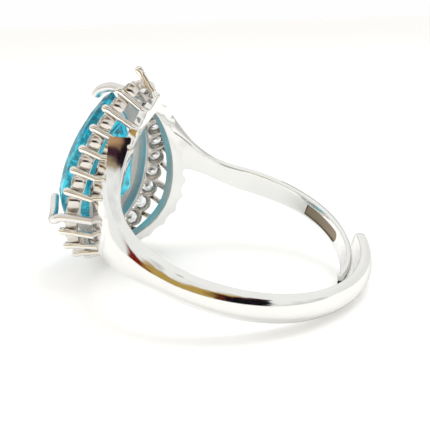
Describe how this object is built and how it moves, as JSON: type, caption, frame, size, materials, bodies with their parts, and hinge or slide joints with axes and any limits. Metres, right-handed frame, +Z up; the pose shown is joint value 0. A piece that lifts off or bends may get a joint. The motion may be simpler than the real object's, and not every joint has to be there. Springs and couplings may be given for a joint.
{
  "type": "cocktail ring",
  "caption": "Adjustable cocktail ring with a pear-shaped aqua centre stone, a halo of small clear stones on shared prongs, and an open shank whose ends overlap.",
  "frame": {"origin": "centre of the finger hole", "axes": "the ring lies on its side on a level table: +Z is up, the setting faces -X, the shank opens at +X, and the finger axis leans from +Z towards +X"},
  "size_m": [0.0249, 0.0194, 0.0161],
  "materials": {
    "silver": "polished silver",
    "main_stone": "faceted and polished",
    "halo_stone": "faceted and polished"
  },
  "bodies": {
    "setting": {"front_shoulder": "silver", "back_shoulder": "silver", "base_rail": "silver", "collet": "silver", "halo_seat": "silver", "main_stone": "main_stone", "tip_claw": "silver", "front_claw": "silver", "back_claw": "silver", "halo_stone_01": "halo_stone", "halo_stone_02": "halo_stone", "halo_stone_03": "halo_stone", "halo_stone_04": "halo_stone", "halo_stone_05": "halo_stone", "halo_stone_06": "halo_stone", "halo_stone_07": "halo_stone", "halo_stone_08": "halo_stone", "halo_stone_09": "halo_stone", "halo_stone_10": "halo_stone", "halo_stone_11": "halo_stone", "halo_stone_12": "halo_stone", "halo_stone_13": "halo_stone", "halo_stone_14": "halo_stone", "halo_stone_15": "halo_stone", "halo_stone_16": "halo_stone", "halo_stone_17": "halo_stone", "halo_stone_18": "halo_stone", "halo_stone_19": "halo_stone", "halo_stone_20": "halo_stone", "halo_stone_21": "halo_stone", "halo_stone_22": "halo_stone", "halo_stone_23": "halo_stone", "halo_stone_24": "halo_stone", "halo_prong_01": "silver", "halo_prong_02": "silver", "halo_prong_03": "silver", "halo_prong_04": "silver", "halo_prong_05": "silver", "halo_prong_06": "silver", "halo_prong_07": "silver", "halo_prong_08": "silver", "halo_prong_09": "silver", "halo_prong_10": "silver", "halo_prong_11": "silver", "halo_prong_12": "silver", "halo_prong_13": "silver", "halo_prong_14": "silver", "halo_prong_15": "silver", "halo_prong_16": "silver", "halo_prong_17": "silver", "halo_prong_18": "silver", "halo_prong_19": "silver", "halo_prong_20": "silver", "halo_prong_21": "silver", "halo_prong_22": "silver"},
    "outer_limb": {"front_limb": "silver"},
    "inner_limb": {"back_limb": "silver"}
  },
  "joints": [
    {"name": "front_limb_bend", "type": "hinge", "parent": "setting", "child": "outer_limb", "pos_m": [0.00135, -0.00902, -0.00097], "axis": [-0.3301, 0.0523, -0.9425], "range_deg": [-2, 8]},
    {"name": "back_limb_bend", "type": "hinge", "parent": "setting", "child": "inner_limb", "pos_m": [-0.00281, 0.00861, 0.00146], "axis": [0.3301, -0.0523, 0.9425], "range_deg": [-2, 8]}
  ],
  "couplings": [
    {"joint": "back_limb_bend", "follows": "front_limb_bend", "ratio": 1}
  ]
}
